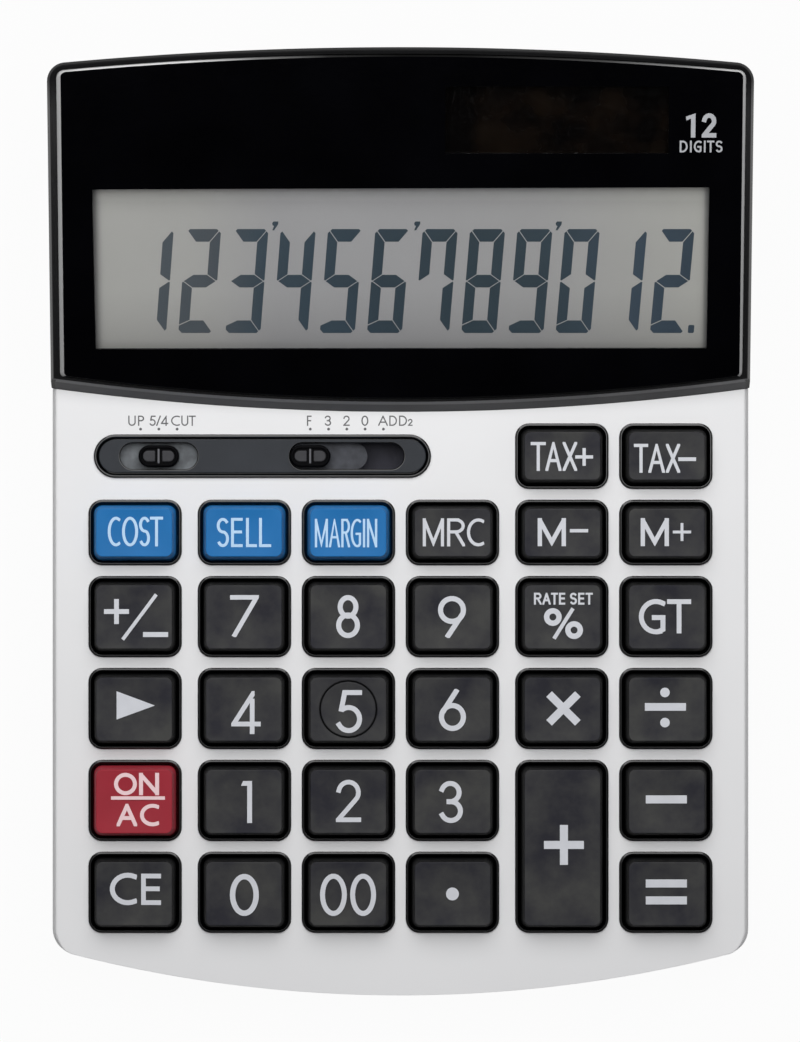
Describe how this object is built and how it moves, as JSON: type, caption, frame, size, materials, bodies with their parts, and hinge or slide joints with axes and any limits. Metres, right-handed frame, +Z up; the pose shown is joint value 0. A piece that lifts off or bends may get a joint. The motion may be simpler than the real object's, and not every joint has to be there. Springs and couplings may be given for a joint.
{
  "type": "desktop calculator",
  "caption": "Wedge-shaped desk calculator with a silver face, sprung keys in black rims, two slide switches, and a raised tilted display with a solar cell.",
  "frame": {"origin": "on the table, under the middle of the object's outer box", "axes": "+X to the right of someone using it, +Y from the user towards the display, +Z up"},
  "size_m": [0.15, 0.2034, 0.0387],
  "materials": {
    "silver_plastic": "satin silver lacquer on moulded plastic",
    "black_plastic": "fine satin moulding",
    "base_plastic": "spark-eroded texture",
    "grey_plastic": "satin moulding",
    "knob_plastic": "satin moulding",
    "key_black": "satin moulding with printed legend",
    "key_blue": "satin moulding with printed legend",
    "key_red": "satin moulding with printed legend",
    "lens_acrylic": "polished acrylic, printed black behind",
    "lcd_cell": "grey-green liquid crystal",
    "reflector_film": "metallised film",
    "solar_glass": "dark brown amorphous silicon behind glass",
    "silicone": "moulded silicone",
    "board": "dark solder resist",
    "resin": "black potting resin",
    "capacitor_sleeve": "shrunk sleeve",
    "ribbon_film": "polyimide film",
    "wire_sleeve": "insulated wire",
    "contact_brass": "rolled brass",
    "steel": "nickel-plated",
    "foot_rubber": "moulded rubber"
  },
  "bodies": {
    "case": {"upper_case": "silver_plastic", "display_housing": "black_plastic", "lower_case": "base_plastic", "keypad_frame": "black_plastic", "switch_plate": "grey_plastic", "dome_sheet": "silicone", "main_pcb": "board", "controller_chip": "resin", "power_capacitor": "capacitor_sleeve", "display_lens": "lens_acrylic", "lcd_frame": "black_plastic", "lcd_glass": "lcd_cell", "lcd_reflector": "reflector_film", "lcd_ribbon": "ribbon_film", "solar_cell": "solar_glass", "solar_leads": "wire_sleeve", "button_cell": "steel", "battery_contact_plus": "steel", "battery_contact_minus": "steel", "battery_leads": "wire_sleeve", "rubber_feet": "foot_rubber", "case_screws": "steel", "pcb_screws": "steel", "lcd_screws": "steel"},
    "key_tax_plus": {"key_tax_plus": "key_black"},
    "key_tax_minus": {"key_tax_minus": "key_black"},
    "key_memory_recall": {"key_memory_recall": "key_black"},
    "key_memory_minus": {"key_memory_minus": "key_black"},
    "key_memory_plus": {"key_memory_plus": "key_black"},
    "key_sign": {"key_sign": "key_black"},
    "key_7": {"key_7": "key_black"},
    "key_8": {"key_8": "key_black"},
    "key_9": {"key_9": "key_black"},
    "key_percent": {"key_percent": "key_black"},
    "key_grand_total": {"key_grand_total": "key_black"},
    "key_shift": {"key_shift": "key_black"},
    "key_4": {"key_4": "key_black"},
    "key_5": {"key_5": "key_black"},
    "key_6": {"key_6": "key_black"},
    "key_multiply": {"key_multiply": "key_black"},
    "key_divide": {"key_divide": "key_black"},
    "key_1": {"key_1": "key_black"},
    "key_2": {"key_2": "key_black"},
    "key_3": {"key_3": "key_black"},
    "key_add": {"key_add": "key_black"},
    "key_subtract": {"key_subtract": "key_black"},
    "key_clear_entry": {"key_clear_entry": "key_black"},
    "key_0": {"key_0": "key_black"},
    "key_00": {"key_00": "key_black"},
    "key_point": {"key_point": "key_black"},
    "key_equals": {"key_equals": "key_black"},
    "key_cost": {"key_cost": "key_blue"},
    "key_sell": {"key_sell": "key_blue"},
    "key_margin": {"key_margin": "key_blue"},
    "key_on_clear": {"key_on_clear": "key_red"},
    "rounding_switch": {"rounding_slider": "knob_plastic", "rounding_wiper": "contact_brass"},
    "decimal_switch": {"decimal_slider": "knob_plastic", "decimal_wiper": "contact_brass"},
    "battery_door": {"battery_cover": "base_plastic"}
  },
  "joints": [
    {"name": "rounding_slide", "type": "slide", "parent": "case", "child": "rounding_switch", "axis": [1, 0, 0], "range_m": [-0.00393, 0.00393]},
    {"name": "decimal_slide", "type": "slide", "parent": "case", "child": "decimal_switch", "axis": [1, 0, 0], "range_m": [0, 0.01572]},
    {"name": "battery_door_hinge", "type": "hinge", "parent": "case", "child": "battery_door", "pos_m": [-0.033, 0.05925, 0.0022], "axis": [-1, 0, 0], "range_deg": [0, 80]},
    {"name": "key_tax_plus_press", "type": "slide", "parent": "case", "child": "key_tax_plus", "axis": [0, 0.0523, -0.9986], "range_m": [0, 0.002], "stiffness_N_per_m": 300, "deforming": ["dome_sheet"]},
    {"name": "key_tax_minus_press", "type": "slide", "parent": "case", "child": "key_tax_minus", "axis": [0, 0.0523, -0.9986], "range_m": [0, 0.002], "stiffness_N_per_m": 300},
    {"name": "key_memory_recall_press", "type": "slide", "parent": "case", "child": "key_memory_recall", "axis": [0, 0.0523, -0.9986], "range_m": [0, 0.002], "stiffness_N_per_m": 300},
    {"name": "key_memory_minus_press", "type": "slide", "parent": "case", "child": "key_memory_minus", "axis": [0, 0.0523, -0.9986], "range_m": [0, 0.002], "stiffness_N_per_m": 300},
    {"name": "key_memory_plus_press", "type": "slide", "parent": "case", "child": "key_memory_plus", "axis": [0, 0.0523, -0.9986], "range_m": [0, 0.002], "stiffness_N_per_m": 300},
    {"name": "key_sign_press", "type": "slide", "parent": "case", "child": "key_sign", "axis": [0, 0.0523, -0.9986], "range_m": [0, 0.002], "stiffness_N_per_m": 300},
    {"name": "key_7_press", "type": "slide", "parent": "case", "child": "key_7", "axis": [0, 0.0523, -0.9986], "range_m": [0, 0.002], "stiffness_N_per_m": 300},
    {"name": "key_8_press", "type": "slide", "parent": "case", "child": "key_8", "axis": [0, 0.0523, -0.9986], "range_m": [0, 0.002], "stiffness_N_per_m": 300},
    {"name": "key_9_press", "type": "slide", "parent": "case", "child": "key_9", "axis": [0, 0.0523, -0.9986], "range_m": [0, 0.002], "stiffness_N_per_m": 300},
    {"name": "key_percent_press", "type": "slide", "parent": "case", "child": "key_percent", "axis": [0, 0.0523, -0.9986], "range_m": [0, 0.002], "stiffness_N_per_m": 300},
    {"name": "key_grand_total_press", "type": "slide", "parent": "case", "child": "key_grand_total", "axis": [0, 0.0523, -0.9986], "range_m": [0, 0.002], "stiffness_N_per_m": 300},
    {"name": "key_shift_press", "type": "slide", "parent": "case", "child": "key_shift", "axis": [0, 0.0523, -0.9986], "range_m": [0, 0.002], "stiffness_N_per_m": 300},
    {"name": "key_4_press", "type": "slide", "parent": "case", "child": "key_4", "axis": [0, 0.0523, -0.9986], "range_m": [0, 0.002], "stiffness_N_per_m": 300},
    {"name": "key_5_press", "type": "slide", "parent": "case", "child": "key_5", "axis": [0, 0.0523, -0.9986], "range_m": [0, 0.002], "stiffness_N_per_m": 300},
    {"name": "key_6_press", "type": "slide", "parent": "case", "child": "key_6", "axis": [0, 0.0523, -0.9986], "range_m": [0, 0.002], "stiffness_N_per_m": 300},
    {"name": "key_multiply_press", "type": "slide", "parent": "case", "child": "key_multiply", "axis": [0, 0.0523, -0.9986], "range_m": [0, 0.002], "stiffness_N_per_m": 300},
    {"name": "key_divide_press", "type": "slide", "parent": "case", "child": "key_divide", "axis": [0, 0.0523, -0.9986], "range_m": [0, 0.002], "stiffness_N_per_m": 300},
    {"name": "key_1_press", "type": "slide", "parent": "case", "child": "key_1", "axis": [0, 0.0523, -0.9986], "range_m": [0, 0.002], "stiffness_N_per_m": 300},
    {"name": "key_2_press", "type": "slide", "parent": "case", "child": "key_2", "axis": [0, 0.0523, -0.9986], "range_m": [0, 0.002], "stiffness_N_per_m": 300},
    {"name": "key_3_press", "type": "slide", "parent": "case", "child": "key_3", "axis": [0, 0.0523, -0.9986], "range_m": [0, 0.002], "stiffness_N_per_m": 300},
    {"name": "key_add_press", "type": "slide", "parent": "case", "child": "key_add", "axis": [0, 0.0523, -0.9986], "range_m": [0, 0.002], "stiffness_N_per_m": 300},
    {"name": "key_subtract_press", "type": "slide", "parent": "case", "child": "key_subtract", "axis": [0, 0.0523, -0.9986], "range_m": [0, 0.002], "stiffness_N_per_m": 300},
    {"name": "key_clear_entry_press", "type": "slide", "parent": "case", "child": "key_clear_entry", "axis": [0, 0.0523, -0.9986], "range_m": [0, 0.002], "stiffness_N_per_m": 300},
    {"name": "key_0_press", "type": "slide", "parent": "case", "child": "key_0", "axis": [0, 0.0523, -0.9986], "range_m": [0, 0.002], "stiffness_N_per_m": 300},
    {"name": "key_00_press", "type": "slide", "parent": "case", "child": "key_00", "axis": [0, 0.0523, -0.9986], "range_m": [0, 0.002], "stiffness_N_per_m": 300},
    {"name": "key_point_press", "type": "slide", "parent": "case", "child": "key_point", "axis": [0, 0.0523, -0.9986], "range_m": [0, 0.002], "stiffness_N_per_m": 300},
    {"name": "key_equals_press", "type": "slide", "parent": "case", "child": "key_equals", "axis": [0, 0.0523, -0.9986], "range_m": [0, 0.002], "stiffness_N_per_m": 300},
    {"name": "key_cost_press", "type": "slide", "parent": "case", "child": "key_cost", "axis": [0, 0.0523, -0.9986], "range_m": [0, 0.002], "stiffness_N_per_m": 300},
    {"name": "key_sell_press", "type": "slide", "parent": "case", "child": "key_sell", "axis": [0, 0.0523, -0.9986], "range_m": [0, 0.002], "stiffness_N_per_m": 300},
    {"name": "key_margin_press", "type": "slide", "parent": "case", "child": "key_margin", "axis": [0, 0.0523, -0.9986], "range_m": [0, 0.002], "stiffness_N_per_m": 300},
    {"name": "key_on_clear_press", "type": "slide", "parent": "case", "child": "key_on_clear", "axis": [0, 0.0523, -0.9986], "range_m": [0, 0.002], "stiffness_N_per_m": 300}
  ]
}
